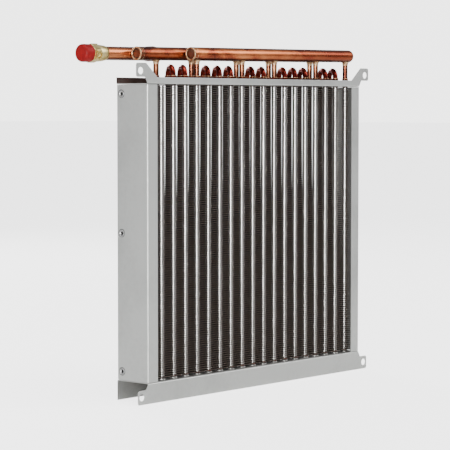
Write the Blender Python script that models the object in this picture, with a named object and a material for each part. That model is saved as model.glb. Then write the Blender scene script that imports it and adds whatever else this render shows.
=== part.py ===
# Finned heat exchanger coil: copper tubes through aluminium fins in a folded steel casing,
# with two copper headers lying above it. Metres, +Z up.
import math

import bmesh
import bpy
from mathutils import Matrix, Vector

# Casing
CASE_WIDTH = 0.487
CASE_DEPTH = 0.0607
CASE_HEIGHT = 0.4192
SHEET = 0.001
FOLD_RADIUS = 0.0015
FOLD_STEPS = 3
TOP_LIP = 0.0097
BASE_SKIRT = 0.0292
SIDE_RETURN = 0.020
SIDE_GAP = 0.0004

# Ears on the front lips, for the screws that hold the coil
EAR_HOLE_RADIUS = 0.0052
EAR_HOLE_SIDES = 12
EAR_CORNER = 0.003
CORNER_STEPS = 3
TOP_EAR_REACH = 0.0225
TOP_EAR_RISE = 0.0195
TOP_EAR_SHOULDER = 0.0045
TOP_EAR_INNER = 0.0025
TOP_EAR_ROOT = 0.020
TOP_EAR_HOLE_OUT = 0.0136
TOP_EAR_HOLE_RISE = 0.0085
BASE_EAR_REACH = 0.0205
BASE_EAR_SHOULDER = 0.004
BASE_EAR_START = 0.009
BASE_EAR_HOLE_OUT = 0.0128
BASE_EAR_HOLE_RISE = 0.0105

# Dimpled screw holes in the side plates
DIMPLE_COUNT = 3
DIMPLE_MARGIN = 0.013
DIMPLE_INSET = 0.0097
DIMPLE_MOUTH = 0.0053
DIMPLE_BORE = 0.0031
DIMPLE_DEPTH = 0.0016
DIMPLE_SIDES = 8

# Tubes
COLUMNS = 18
ROW_PITCH = 0.02165
FRONT_MARGIN = 0.015
LEFT_MARGIN = 0.0438
RIGHT_MARGIN = 0.0182
TUBE_RADIUS = 0.00397
TUBE_WALL = 0.0004
TUBE_SIDES = 8
HAIRPIN_SIDES = 6
BELL_WALL = 0.0004
BELL_LENGTH = 0.008
BELL_TAPER = 0.0015
TUBE_RISE = 0.0115
HAIRPIN_DROP = 0.0065
HAIRPIN_STEPS = 4
RETURN_STEPS = 4
ROOT_GAP = 0.0005
BRAZE_GAP = 0.0003
HOLE_CLEARANCE = 0.0003

# Columns whose front or rear tube goes up to its header
FRONT_STUBS = (4, 8, 11, 15, 18)
REAR_STUBS = (1, 4, 8, 11, 15)

# Fin pack: one body, with the free fins cut as slots in front and behind
FIN_PITCH = 0.008
FIN_THICKNESS = 0.0012
FIN_FREE_DEPTH = 0.0055
FIN_END_GAP = 0.0035
FIN_LEFT_MARGIN = 0.01875
FIN_RIGHT_MARGIN = 0.00625

# Headers; with the pipes on them they rise a little to the right
HEADER_RADIUS = 0.0096
HEADER_WALL = 0.0011
HEADER_CLEARANCE = 0.00458
PIPE_SLOPE = 0.0098
HEADER_SIDES = 12
FRONT_HEADER_LEFT = 0.0128
FRONT_HEADER_RIGHT = 0.0142
REAR_HEADER_LEFT = 0.0403
REAR_HEADER_RIGHT = 0.0237
DOME_LENGTH = 0.007
DOME_STEPS = 2
DOME_TIP = 0.0018
STUB_INSERT = 0.003
PLUG_DISH = 0.0015
PLUG_WALL = 0.001
PLUG_LENGTH = 0.004

# Supply connection, behind the rear header
SUPPLY_GAP = 0.00085
SUPPLY_BEND_RADIUS = 0.013
SUPPLY_BEND_STEPS = 4
SUPPLY_JOIN_X = 0.078
SUPPLY_PORT_RADIUS = 0.0066
SUPPLY_MOUTH_X = -0.027
UNION_SOCKET = 0.009
UNION_BODY = 0.018
UNION_RADIUS = 0.0118
HEX_LENGTH = 0.013
HEX_ACROSS_FLATS = 0.024
SPIGOT_RADIUS = 0.0104
SPIGOT_LENGTH = 0.012
UNION_BORE = 0.0080
BOSS_RADIUS = 0.0058
BOSS_REACH = 0.0148
BOSS_BORE = 0.0033
BOSS_SIDES = 12
BOSS_TURN = math.radians(13)
VENT_HEAD_RADIUS = 0.0046
VENT_HEAD = 0.0020
VENT_SHANK = 0.005
VENT_SLOT = 0.0012
CAP_WALL = 0.0018
CAP_END = 0.003
CAP_LENGTH = 0.016
CAP_ROUND = 0.0035

# Return connection, behind the front header
RETURN_RADIUS = 0.0080
RETURN_GAP = 0.011
RETURN_REACH = 0.060
RETURN_PORT_RADIUS = 0.0066

# Finishes: colour, roughness, metallic
GALVANISED = ((0.56, 0.57, 0.57), 0.42, 0.9)
COPPER = ((0.72, 0.33, 0.20), 0.34, 1.0)
FIN_METAL = ((0.42, 0.42, 0.41), 0.40, 0.9)
BRASS = ((0.72, 0.56, 0.28), 0.32, 1.0)
RED_PLASTIC = ((0.62, 0.03, 0.04), 0.45, 0.0)
TOOL = ((0.5, 0.5, 0.5), 0.5, 0.0)

# Worked out from the sizes above
TUBE_PITCH = (CASE_WIDTH - LEFT_MARGIN - RIGHT_MARGIN) / (COLUMNS - 1)
REAR_ROW_Y = FRONT_MARGIN + ROW_PITCH
BELL_INNER = (TUBE_RADIUS + BRAZE_GAP) / math.cos(math.pi / HAIRPIN_SIDES)
STUB_HOLE = (TUBE_RADIUS + BRAZE_GAP) / math.cos(math.pi / TUBE_SIDES)
BELL_OUTER = BELL_INNER + BELL_WALL
TUBE_BORE = TUBE_RADIUS - TUBE_WALL
TUBE_TOP = CASE_HEIGHT + SHEET + TUBE_RISE
BELL_FOOT = TUBE_TOP - BELL_LENGTH
SOCKET_FOOT = BELL_FOOT + ROOT_GAP
RETURN_TOP = TUBE_TOP + math.hypot(TUBE_PITCH / 2, ROW_PITCH) / 2 + TUBE_RADIUS
HEADER_HEIGHT = RETURN_TOP + HEADER_CLEARANCE + HEADER_RADIUS
SUPPLY_Y = REAR_ROW_Y + 2 * HEADER_RADIUS + SUPPLY_GAP
BEND_START = SHEET + FOLD_RADIUS
HEADER_BORE = HEADER_RADIUS - HEADER_WALL
PIPE_END_X = SUPPLY_MOUTH_X - UNION_SOCKET + ROOT_GAP
HEX_X = SUPPLY_MOUTH_X - UNION_BODY
CAP_X = HEX_X - HEX_LENGTH - BRAZE_GAP
BOSS_X = HEX_X - HEX_LENGTH / 2


def front_x(column):
    return LEFT_MARGIN + (column - 1) * TUBE_PITCH


def rear_x(column):
    return front_x(column) + TUBE_PITCH / 2


# Ends of the headers, and the return pipe beyond the rear one
FRONT_HEADER_START = front_x(FRONT_STUBS[0]) - FRONT_HEADER_LEFT
FRONT_HEADER_END = front_x(FRONT_STUBS[-1]) + FRONT_HEADER_RIGHT
REAR_HEADER_START = rear_x(REAR_STUBS[0]) - REAR_HEADER_LEFT
REAR_HEADER_END = rear_x(REAR_STUBS[-1]) + REAR_HEADER_RIGHT
RETURN_X = REAR_HEADER_END + RETURN_GAP + RETURN_RADIUS


def clear_scene():
    for thing in list(bpy.data.objects):
        bpy.data.objects.remove(thing, do_unlink=True)


def make_material(name, look):
    colour, roughness, metallic = look
    material = bpy.data.materials.new(name)
    material.use_nodes = True
    shader = material.node_tree.nodes["Principled BSDF"]
    shader.inputs["Base Color"].default_value = (*colour, 1.0)
    shader.inputs["Roughness"].default_value = roughness
    shader.inputs["Metallic"].default_value = metallic
    return material


def add_object(name, mesh_builder, look, smooth=True):
    """Turn a bmesh into a named object that hangs on the coil's empty."""
    bmesh.ops.recalc_face_normals(mesh_builder, faces=mesh_builder.faces)
    if mesh_builder.calc_volume(signed=True) < 0:
        bmesh.ops.reverse_faces(mesh_builder, faces=mesh_builder.faces)
    mesh = bpy.data.meshes.new(name)
    mesh_builder.to_mesh(mesh)
    mesh_builder.free()
    if smooth:
        mesh.shade_smooth()
        mesh.set_sharp_from_angle(angle=math.radians(35))
    thing = bpy.data.objects.new(name, mesh)
    mesh.materials.append(make_material(name + "_finish", look))
    thing.parent = bpy.data.objects["coil"]
    bpy.context.scene.collection.objects.link(thing)
    return thing


def add_cutter(name, mesh_builder):
    """A tool body for a Boolean: hidden and left out of the model."""
    cutter = add_object(name, mesh_builder, TOOL, smooth=False)
    cutter.hide_render = True
    cutter.display_type = "WIRE"
    return cutter


def boolean(thing, cutter, operation="DIFFERENCE"):
    step = thing.modifiers.new(operation.lower(), "BOOLEAN")
    step.operation = operation
    step.solver = "EXACT"
    step.object = cutter


def with_tools(things):
    """The pieces and the Boolean tools that shape them."""
    tools = [step.object for thing in things for step in thing.modifiers if step.type == "BOOLEAN"]
    return things + tools


def lean(things):
    """Raise pipework along X by its slope, with its upright sections kept upright."""
    for thing in with_tools(things):
        for vertex in thing.data.vertices:
            vertex.co.z += PIPE_SLOPE * vertex.co.x


def turn_on_supply(things, angle):
    """Turn fittings about the supply pipe's axis."""
    centre = Vector((0, SUPPLY_Y, HEADER_HEIGHT))
    turn = Matrix.Rotation(angle, 3, "X")
    for thing in with_tools(things):
        for vertex in thing.data.vertices:
            vertex.co = centre + turn @ (vertex.co - centre)


def ring(mesh_builder, centre, across, up, radius, sides, turn=0.0):
    step = 2 * math.pi / sides
    return [
        mesh_builder.verts.new(
            centre
            + across * (radius * math.cos(turn + step * i))
            + up * (radius * math.sin(turn + step * i))
        )
        for i in range(sides)
    ]


def sweep(stations, binormal, sides, closed=False, turn=0.0, builder=None):
    """Skin rings along stations of (point, tangent, radius); the binormal stays fixed."""
    mesh_builder = builder or bmesh.new()
    rings = [
        ring(mesh_builder, point, binormal.cross(tangent), binormal, radius, sides, turn)
        for point, tangent, radius in stations
    ]
    pairs = list(zip(rings, rings[1:]))
    if closed:
        pairs.append((rings[-1], rings[0]))
    for first, second in pairs:
        for i in range(sides):
            j = (i + 1) % sides
            mesh_builder.faces.new((first[i], first[j], second[j], second[i]))
    if not closed:
        mesh_builder.faces.new(rings[0])
        mesh_builder.faces.new(rings[-1])
    return mesh_builder


def turned(profile, start, axis, sides, closed=False, turn=0.0, builder=None):
    """Turn a profile of (distance along the axis, radius) about the axis."""
    axis = Vector(axis)
    binormal = Vector((0, 0, 1)) if abs(axis.z) < 0.5 else Vector((1, 0, 0))
    stations = [(Vector(start) + axis * along, axis, radius) for along, radius in profile]
    return sweep(stations, binormal, sides, closed, turn, builder)


def arc_points(centre, radius, first, last, steps):
    """Points of a flat arc, angles in degrees."""
    angles = [math.radians(first + (last - first) * i / steps) for i in range(steps + 1)]
    return [(centre[0] + radius * math.cos(a), centre[1] + radius * math.sin(a)) for a in angles]


def circle_points(centre, radius, sides, turn=0.0):
    angles = [turn + 2 * math.pi * i / sides for i in range(sides)]
    return [(centre[0] + radius * math.cos(a), centre[1] + radius * math.sin(a)) for a in angles]


def flat_patch(builder, outline, holes=()):
    """Fill one flat stretch of sheet, with its holes, in u and v."""
    edges = []
    for loop in [outline, *holes]:
        corners = [builder.verts.new((u, v, -SHEET / 2)) for u, v in loop]
        edges += [
            builder.edges.new((corner, corners[(i + 1) % len(corners)]))
            for i, corner in enumerate(corners)
        ]
    bmesh.ops.triangle_fill(builder, use_beauty=True, edges=edges, normal=(0, 0, 1))


def fold_sizes(web, leg):
    """Half the flat web, the bend's flat length, and the leg's flat length past the bend."""
    return web / 2 - BEND_START, (FOLD_RADIUS + SHEET / 2) * math.pi / 2, leg - BEND_START


def folded_channel(start, end, web, leg, web_holes, front_leg=None, front_holes=()):
    """A sheet channel along u: flat web, two bends, two legs that rise from it.

    front_leg is the outline of the leg at -v as (u, height above the web's outer face);
    without it, that leg is as plain as the other.
    """
    half_web, bend, plain = fold_sizes(web, leg)
    builder = bmesh.new()
    flat_patch(builder, [(start, -half_web), (end, -half_web), (end, half_web), (start, half_web)],
               web_holes)
    bend_end = half_web + bend
    for side in (-1, 1):
        lines = [side * (half_web + bend * i / FOLD_STEPS) for i in range(FOLD_STEPS + 1)]
        for near, far in zip(lines, lines[1:]):
            flat_patch(builder, [(start, near), (end, near), (end, far), (start, far)])
        outline = [(start, BEND_START), (end, BEND_START), (end, leg), (start, leg)]
        holes = []
        if side < 0 and front_leg:
            outline = front_leg
            holes = front_holes
        flat_patch(
            builder,
            [(u, side * (bend_end + height - BEND_START)) for u, height in outline],
            [[(u, side * (bend_end + height - BEND_START)) for u, height in loop] for loop in holes],
        )
    bmesh.ops.remove_doubles(builder, verts=builder.verts, dist=1e-6)
    raised = bmesh.ops.extrude_face_region(builder, geom=list(builder.faces))
    top = [item for item in raised["geom"] if isinstance(item, bmesh.types.BMVert)]
    bmesh.ops.translate(builder, verts=top, vec=(0, 0, SHEET))

    neutral = FOLD_RADIUS + SHEET / 2
    for vertex in builder.verts:
        u, v, offset = vertex.co
        past = abs(v) - half_web
        if past <= 0:
            across, rise = abs(v), offset
        elif past <= bend:
            angle = past / neutral
            across = half_web + (neutral - offset) * math.sin(angle)
            rise = neutral - (neutral - offset) * math.cos(angle)
        else:
            across = half_web + neutral - offset
            rise = neutral + past - bend
        vertex.co = (u, math.copysign(across, v), rise + SHEET / 2)
    return builder


def mirrored(points):
    """The same outline at the casing's other end, in the order that carries it on."""
    return [(CASE_WIDTH - x, height) for x, height in reversed(points)]


def tube_spots():
    """Centres of all the tubes, front row first."""
    front = [(front_x(k), FRONT_MARGIN) for k in range(2, COLUMNS + 1)]
    rear = [(rear_x(k), REAR_ROW_Y) for k in range(1, COLUMNS)]
    return front + rear


def tube_holes():
    """Holes whose flats face the corners of the expanded tubes."""
    half_side = math.pi / HAIRPIN_SIDES
    radius = (TUBE_RADIUS + HOLE_CLEARANCE) / math.cos(half_side)
    return [
        circle_points((x, y - CASE_DEPTH / 2), radius, HAIRPIN_SIDES, half_side)
        for x, y in tube_spots()
    ]


def build_top_plate():
    """Tube sheet with two upturned lips; the front lip carries a raised ear at each end."""
    tip = TOP_LIP + TOP_EAR_RISE
    corner_x = EAR_CORNER - TOP_EAR_REACH
    left = (
        [(0.0, BEND_START), (-TOP_EAR_SHOULDER, TOP_LIP)]
        + arc_points((corner_x, TOP_LIP + EAR_CORNER), EAR_CORNER, 270, 180, CORNER_STEPS)
        + arc_points((corner_x, tip - EAR_CORNER), EAR_CORNER, 180, 90, CORNER_STEPS)
        + [(-TOP_EAR_INNER, tip), (TOP_EAR_ROOT, TOP_LIP)]
    )
    height = TOP_LIP + TOP_EAR_HOLE_RISE
    spots = [(-TOP_EAR_HOLE_OUT, height), (CASE_WIDTH + TOP_EAR_HOLE_OUT, height)]
    ear_holes = [circle_points(spot, EAR_HOLE_RADIUS, EAR_HOLE_SIDES) for spot in spots]
    builder = folded_channel(0.0, CASE_WIDTH, CASE_DEPTH, TOP_LIP, tube_holes(),
                             left + mirrored(left), ear_holes)
    plate = add_object("top_plate", builder, GALVANISED)
    plate.location = (0, CASE_DEPTH / 2, CASE_HEIGHT)


def build_bottom_plate():
    """Lower tube sheet with two deep skirts; the front skirt has an ear at each end."""
    corner_x = EAR_CORNER - BASE_EAR_REACH
    left = (
        [(0.0, BEND_START), (-BASE_EAR_SHOULDER, BASE_EAR_START)]
        + arc_points((corner_x, BASE_EAR_START + EAR_CORNER), EAR_CORNER, 270, 180, CORNER_STEPS)
        + arc_points((corner_x, BASE_SKIRT - EAR_CORNER), EAR_CORNER, 180, 90, CORNER_STEPS)
    )
    height = BASE_SKIRT - BASE_EAR_HOLE_RISE
    spots = [(-BASE_EAR_HOLE_OUT, height), (CASE_WIDTH + BASE_EAR_HOLE_OUT, height)]
    ear_holes = [circle_points(spot, EAR_HOLE_RADIUS, EAR_HOLE_SIDES) for spot in spots]
    builder = folded_channel(0.0, CASE_WIDTH, CASE_DEPTH, BASE_SKIRT, tube_holes(),
                             left + mirrored(left), ear_holes)
    for vertex in builder.verts:
        vertex.co.z = -vertex.co.z
    plate = add_object("bottom_plate", builder, GALVANISED)
    plate.location = (0, CASE_DEPTH / 2, 0)


def build_side_plate(name, at_x, inward):
    """A folded channel that closes one side, with dimpled screw holes near its rear edge."""
    top = CASE_HEIGHT - SIDE_GAP
    step = (CASE_HEIGHT - 2 * DIMPLE_MARGIN) / (DIMPLE_COUNT - 1)
    heights = [DIMPLE_MARGIN + step * i for i in range(DIMPLE_COUNT)]
    dimple_v = CASE_DEPTH / 2 - DIMPLE_INSET
    holes = [circle_points((z, dimple_v), DIMPLE_MOUTH, DIMPLE_SIDES) for z in heights]
    builder = folded_channel(SIDE_GAP, top, CASE_DEPTH, SIDE_RETURN, holes)
    for z in heights:
        press_dimple(builder, z, dimple_v)
    for vertex in builder.verts:
        u, v, rise = vertex.co
        vertex.co = (at_x + inward * rise, v + CASE_DEPTH / 2, u)
    add_object(name, builder, GALVANISED)


def press_dimple(builder, u, v):
    """Draw the edge of a hole inwards to a smaller bore, one sheet thick."""
    wall = [
        face for face in builder.faces
        if all(abs(math.hypot(p.co.x - u, p.co.y - v) - DIMPLE_MOUTH) < 1e-5 for p in face.verts)
    ]
    bmesh.ops.delete(builder, geom=wall, context="FACES")
    mouths = []
    for level in (0.0, SHEET):
        found = [
            p for p in builder.verts
            if abs(math.hypot(p.co.x - u, p.co.y - v) - DIMPLE_MOUTH) < 1e-5
            and abs(p.co.z - level) < 1e-5
        ]
        mouths.append(sorted(found, key=lambda p: math.atan2(p.co.y - v, p.co.x - u)))
    shrink = DIMPLE_BORE / DIMPLE_MOUTH
    throats = [
        [
            builder.verts.new((
                u + (p.co.x - u) * shrink,
                v + (p.co.y - v) * shrink,
                p.co.z + DIMPLE_DEPTH,
            ))
            for p in mouth
        ]
        for mouth in mouths
    ]
    for first, second in ((mouths[0], throats[0]), (throats[0], throats[1]),
                          (throats[1], mouths[1])):
        for i in range(DIMPLE_SIDES):
            j = (i + 1) % DIMPLE_SIDES
            builder.faces.new((first[i], first[j], second[j], second[i]))


def build_fin_pack():
    """The stacked fins: free fins stand out in front and behind a core that holds the tubes."""
    front_y = FRONT_MARGIN - ROW_PITCH / 2
    back_y = REAR_ROW_Y + ROW_PITCH / 2
    room = CASE_HEIGHT - 2 * FIN_END_GAP - FIN_THICKNESS
    count = int(room / FIN_PITCH + 1e-6)
    bottom = (CASE_HEIGHT - count * FIN_PITCH - FIN_THICKNESS) / 2
    front = []
    for i in range(count + 1):
        low = bottom + i * FIN_PITCH
        high = low + FIN_THICKNESS
        front += [(front_y, low), (front_y, high)]
        if i < count:
            root = front_y + FIN_FREE_DEPTH
            front += [(root, high), (root, low + FIN_PITCH)]
    outline = front + [(front_y + back_y - y, z) for y, z in reversed(front)]
    left = front_x(1) - FIN_LEFT_MARGIN
    right = front_x(COLUMNS) + FIN_RIGHT_MARGIN
    builder = bmesh.new()
    builder.faces.new([builder.verts.new((left, y, z)) for y, z in outline])
    pushed = bmesh.ops.extrude_face_region(builder, geom=builder.faces[:])
    moved = [item for item in pushed["geom"] if isinstance(item, bmesh.types.BMVert)]
    bmesh.ops.translate(builder, verts=moved, vec=(right - left, 0, 0))
    pack = add_object("fin_pack", builder, FIN_METAL, smooth=False)

    bars = bmesh.new()
    for x, y in tube_spots():
        turned([(0, BELL_INNER), (CASE_HEIGHT, BELL_INNER)], (x, y, 0), (0, 0, 1), HAIRPIN_SIDES,
               builder=bars)
    boolean(pack, add_cutter("tube_bars", bars))


def u_path(first, second, base_z, sense, ends, steps):
    """Stations of a U in the upright plane through two feet.

    ends lists (height, radius) of one leg from its free end; sense is 1 for a U that
    closes above base_z and -1 for one that closes below it.
    """
    left = Vector((*first, 0))
    right = Vector((*second, 0))
    along = (right - left).normalized()
    half = (right - left).length / 2
    up = Vector((0, 0, sense))
    stations = [(left + Vector((0, 0, z)), up, radius) for z, radius in ends]
    for i in range(steps + 1):
        angle = math.pi * i / steps
        point = (left + right) / 2 - along * (half * math.cos(angle)) + up * (half * math.sin(angle))
        point.z += base_z
        tangent = along * math.sin(angle) + up * math.cos(angle)
        stations.append((point, tangent, ends[-1][1]))
    stations += [(right + Vector((0, 0, z)), -up, radius) for z, radius in reversed(ends)]
    return stations, along.cross(up)


def u_tube(name, first, second, base_z, sense, outside, bore, steps, sides):
    """A hollow U, open at both feet: out along its outside and back along its bore."""
    outer, binormal = u_path(first, second, base_z, sense, outside, steps)
    inner, _ = u_path(first, second, base_z, sense, bore, steps)
    builder = sweep(outer + inner[::-1], binormal, sides, closed=True)
    add_object(name, builder, COPPER)


def build_hairpin(column):
    """A tube bent double: one leg in the rear row, the next in the front row."""
    outside = [(TUBE_TOP, BELL_OUTER), (BELL_FOOT, BELL_OUTER), (BELL_FOOT - BELL_TAPER, TUBE_RADIUS)]
    bore = [(TUBE_TOP, BELL_INNER), (BELL_FOOT, BELL_INNER), (BELL_FOOT - BELL_TAPER, TUBE_BORE)]
    u_tube(f"hairpin_tube_{column:02d}", (rear_x(column), REAR_ROW_Y),
           (front_x(column + 1), FRONT_MARGIN), -HAIRPIN_DROP, -1, outside, bore, HAIRPIN_STEPS,
           HAIRPIN_SIDES)


def build_return_bend(column):
    """A short U brazed into the belled ends of one front and one rear tube."""
    u_tube(f"return_bend_{column:02d}", (front_x(column), FRONT_MARGIN),
           (rear_x(column), REAR_ROW_Y), TUBE_TOP, 1, [(SOCKET_FOOT, TUBE_RADIUS)],
           [(SOCKET_FOOT, TUBE_BORE)], RETURN_STEPS, TUBE_SIDES)


def build_stub(name, x, y):
    """A straight feeder from a belled tube end up into a header."""
    length = HEADER_HEIGHT + PIPE_SLOPE * x - HEADER_RADIUS + STUB_INSERT - SOCKET_FOOT
    wall = [(0, TUBE_RADIUS), (length, TUBE_RADIUS), (length, TUBE_BORE), (0, TUBE_BORE)]
    add_object(name, turned(wall, (x, y, SOCKET_FOOT), (0, 0, 1), TUBE_SIDES, closed=True), COPPER)


def dome(length, radius, tip):
    """Profile of a pipe end spun in over DOME_LENGTH, up to its small flat tip."""
    points = []
    for i in range(DOME_STEPS + 1):
        angle = math.pi / 2 * i / DOME_STEPS
        points.append((
            length - DOME_LENGTH * (1 - math.sin(angle)),
            tip + (radius - tip) * math.cos(angle),
        ))
    return points


def build_header(name, left, right, y, stubs, port_x, port_radius):
    """A pipe along X, open at the left and spun shut at the right, with its branch holes."""
    length = right - left
    outside = [(0.0, HEADER_RADIUS)] + dome(length, HEADER_RADIUS, DOME_TIP)
    inside = [(0.0, HEADER_BORE)] + dome(length - HEADER_WALL, HEADER_BORE, DOME_TIP)
    builder = bmesh.new()
    shells = []
    for profile in (outside, inside):
        shells.append([
            ring(builder, Vector((left + along, y, HEADER_HEIGHT)), Vector((0, 1, 0)),
                 Vector((0, 0, 1)), radius, HEADER_SIDES)
            for along, radius in profile
        ])
    for shell in shells:
        builder.faces.new(shell[-1])
        bridge_rings(builder, shell)
    bridge_rings(builder, [shells[0][0], shells[1][0]])
    header = add_object(name, builder, COPPER)

    tools = bmesh.new()
    for x in stubs:
        turned([(0, STUB_HOLE), (HEADER_RADIUS * 2, STUB_HOLE)],
               (x, y, HEADER_HEIGHT - HEADER_RADIUS * 2), (0, 0, 1), TUBE_SIDES, builder=tools)
    turned([(0, port_radius), (HEADER_RADIUS * 2, port_radius)], (port_x, y, HEADER_HEIGHT),
           (0, 1, 0), HEADER_SIDES, builder=tools)
    boolean(header, add_cutter(name + "_drill", tools))
    return header


def bridge_rings(builder, rings):
    for first, second in zip(rings, rings[1:]):
        for i in range(len(first)):
            j = (i + 1) % len(first)
            builder.faces.new((first[i], first[j], second[j], second[i]))


def build_header_plug(name, left, y):
    """A disc brazed into the open end of a header, its face dished inside a narrow rim."""
    outer = HEADER_BORE - BRAZE_GAP
    inner = outer - PLUG_WALL
    profile = [(PLUG_DISH, inner), (0.0, inner), (0.0, outer), (PLUG_LENGTH, outer)]
    return add_object(name, turned(profile, (left, y, HEADER_HEIGHT), (1, 0, 0), HEADER_SIDES),
                      COPPER)


def pipe_wall(points, tangents, radius):
    """Wall of a pipe that is open at both ends, bent in the level plane."""
    outside = [(p, t, radius) for p, t in zip(points, tangents)]
    bore = [(p, t, radius - HEADER_WALL) for p, t in zip(points, tangents)]
    return sweep(outside + bore[::-1], Vector((0, 0, 1)), HEADER_SIDES, closed=True)


def saddle_tool(name, x, y):
    """The outside of a header with the brazing gap, which shapes the end of its branch."""
    radius = HEADER_RADIUS + BRAZE_GAP
    reach = HEADER_RADIUS * 2
    return add_cutter(name, turned([(0, radius), (reach * 2, radius)], (x - reach, y, HEADER_HEIGHT),
                                   (1, 0, 0), HEADER_SIDES))


def build_supply_pipe():
    """From the union along the back of the rear header, then forward into it."""
    corner_x = SUPPLY_JOIN_X - SUPPLY_BEND_RADIUS
    points = [Vector((PIPE_END_X, SUPPLY_Y, HEADER_HEIGHT))]
    tangents = [Vector((1, 0, 0))]
    for i in range(SUPPLY_BEND_STEPS + 1):
        angle = math.pi / 2 * i / SUPPLY_BEND_STEPS
        points.append(Vector((
            corner_x + SUPPLY_BEND_RADIUS * math.sin(angle),
            SUPPLY_Y - SUPPLY_BEND_RADIUS * (1 - math.cos(angle)),
            HEADER_HEIGHT,
        )))
        tangents.append(Vector((math.cos(angle), -math.sin(angle), 0)))
    points.append(Vector((SUPPLY_JOIN_X, REAR_ROW_Y, HEADER_HEIGHT)))
    tangents.append(Vector((0, -1, 0)))
    pipe = add_object("supply_pipe", pipe_wall(points, tangents, HEADER_RADIUS), COPPER)
    boolean(pipe, saddle_tool("supply_saddle", SUPPLY_JOIN_X, REAR_ROW_Y))
    return pipe


def build_return_pipe():
    """A plain pipe end that leaves the front header straight to the back."""
    points = [Vector((RETURN_X, FRONT_MARGIN, HEADER_HEIGHT)),
              Vector((RETURN_X, FRONT_MARGIN + RETURN_REACH, HEADER_HEIGHT))]
    pipe = add_object("return_pipe", pipe_wall(points, [Vector((0, 1, 0))] * 2, RETURN_RADIUS), COPPER)
    boolean(pipe, saddle_tool("return_saddle", RETURN_X, FRONT_MARGIN))
    return pipe


def build_union():
    """Brass body on the supply pipe: socket, hexagon with a vent boss, and threaded spigot."""
    mouth = Vector((SUPPLY_MOUTH_X, SUPPLY_Y, HEADER_HEIGHT))
    outward = (-1, 0, 0)
    end = UNION_BODY + HEX_LENGTH + SPIGOT_LENGTH
    shoulder = UNION_BODY + HEX_LENGTH / 2
    outside = [(0, UNION_RADIUS), (shoulder, UNION_RADIUS), (shoulder, SPIGOT_RADIUS),
               (end, SPIGOT_RADIUS)]
    union = add_object("supply_union", turned(outside, mouth, outward, HEADER_SIDES), BRASS)

    corner = HEX_ACROSS_FLATS / 2 / math.cos(math.pi / 6)
    hexagon = turned([(UNION_BODY, corner), (UNION_BODY + HEX_LENGTH, corner)], mouth, outward, 6,
                     turn=math.pi / 6)
    boolean(union, add_cutter("hexagon_tool", hexagon), "UNION")
    boss_start = (BOSS_X, SUPPLY_Y - BOSS_REACH, HEADER_HEIGHT)
    boss = turned([(0, BOSS_RADIUS), (BOSS_REACH, BOSS_RADIUS)], boss_start, (0, 1, 0), BOSS_SIDES)
    boolean(union, add_cutter("boss_tool", boss), "UNION")

    socket = (HEADER_RADIUS + BRAZE_GAP) / math.cos(math.pi / HEADER_SIDES)
    bore = [(-UNION_SOCKET, socket), (UNION_SOCKET, socket), (UNION_SOCKET, UNION_BORE),
            (end + UNION_SOCKET, UNION_BORE)]
    boolean(union, add_cutter("union_bore", turned(bore, mouth, outward, HEADER_SIDES)))
    drill = turned([(-BOSS_REACH, BOSS_BORE), (BOSS_REACH, BOSS_BORE)], boss_start, (0, 1, 0),
                   TUBE_SIDES)
    boolean(union, add_cutter("vent_drill", drill))
    return union


def build_vent_screw():
    """Slotted screw that closes the vent boss."""
    head_y = SUPPLY_Y - BOSS_REACH - BRAZE_GAP - VENT_HEAD
    shank = BOSS_BORE * math.cos(math.pi / TUBE_SIDES) - BRAZE_GAP
    profile = [(0.0, VENT_HEAD_RADIUS), (VENT_HEAD, VENT_HEAD_RADIUS), (VENT_HEAD, shank),
               (VENT_HEAD + VENT_SHANK, shank)]
    screw = add_object("vent_screw", turned(profile, (BOSS_X, head_y, HEADER_HEIGHT), (0, 1, 0),
                                            TUBE_SIDES), BRASS)
    slot = bmesh.new()
    bmesh.ops.create_cube(slot, size=1.0)
    bmesh.ops.scale(slot, vec=(4 * VENT_HEAD_RADIUS, VENT_HEAD, VENT_SLOT), verts=slot.verts)
    bmesh.ops.translate(slot, vec=(BOSS_X, head_y, HEADER_HEIGHT), verts=slot.verts)
    boolean(screw, add_cutter("slot_tool", slot))
    return screw


def build_protective_cap():
    """Red plastic cap pushed over the thread of the supply union."""
    inner = SPIGOT_RADIUS / math.cos(math.pi / HEADER_SIDES) + BRAZE_GAP
    outer = inner + CAP_WALL
    profile = [
        (CAP_LENGTH - CAP_END, inner),
        (0.0, inner),
        (0.0, outer),
        (CAP_LENGTH - CAP_ROUND, outer),
        (CAP_LENGTH - CAP_ROUND * 0.3, outer - CAP_ROUND * 0.3),
        (CAP_LENGTH, outer - CAP_ROUND),
    ]
    builder = turned(profile, (CAP_X, SUPPLY_Y, HEADER_HEIGHT), (-1, 0, 0), HEADER_SIDES)
    return add_object("protective_cap", builder, RED_PLASTIC)


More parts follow.
